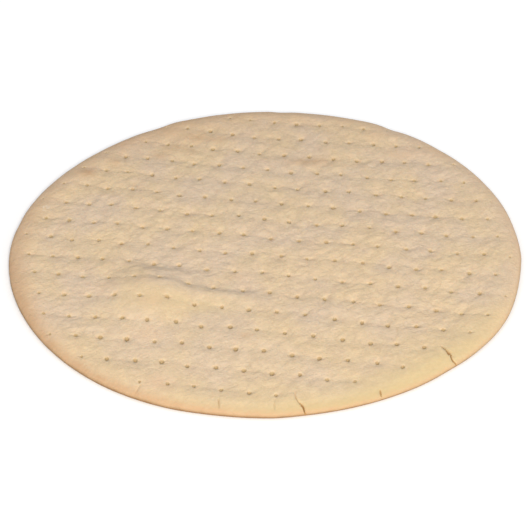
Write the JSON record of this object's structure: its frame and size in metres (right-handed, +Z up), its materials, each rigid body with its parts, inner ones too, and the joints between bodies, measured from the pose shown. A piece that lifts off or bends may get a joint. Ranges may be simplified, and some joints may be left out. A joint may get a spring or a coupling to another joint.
{
  "type": "pizza crust",
  "caption": "Thin round par-baked pizza crust: pale, matt top sheet docked all over with small pin holes, a low blister, a bare rounded rim with fine cracks, and a flat underside.",
  "frame": {"origin": "middle of the flat underside, under the centre of the bounding box", "axes": "+Z up, square to the flat underside, which rests on a surface; -Y is the side nearest the viewer of the picture and +X is to that viewer's right"},
  "size_m": [0.3566, 0.3514, 0.0125],
  "materials": {
    "baked_crust": "dry, matt, pale baked dough, more orange on the rim, with a thin dusting of flour"
  },
  "bodies": {
    "root": {"crust": "baked_crust"}
  },
  "joints": []
}
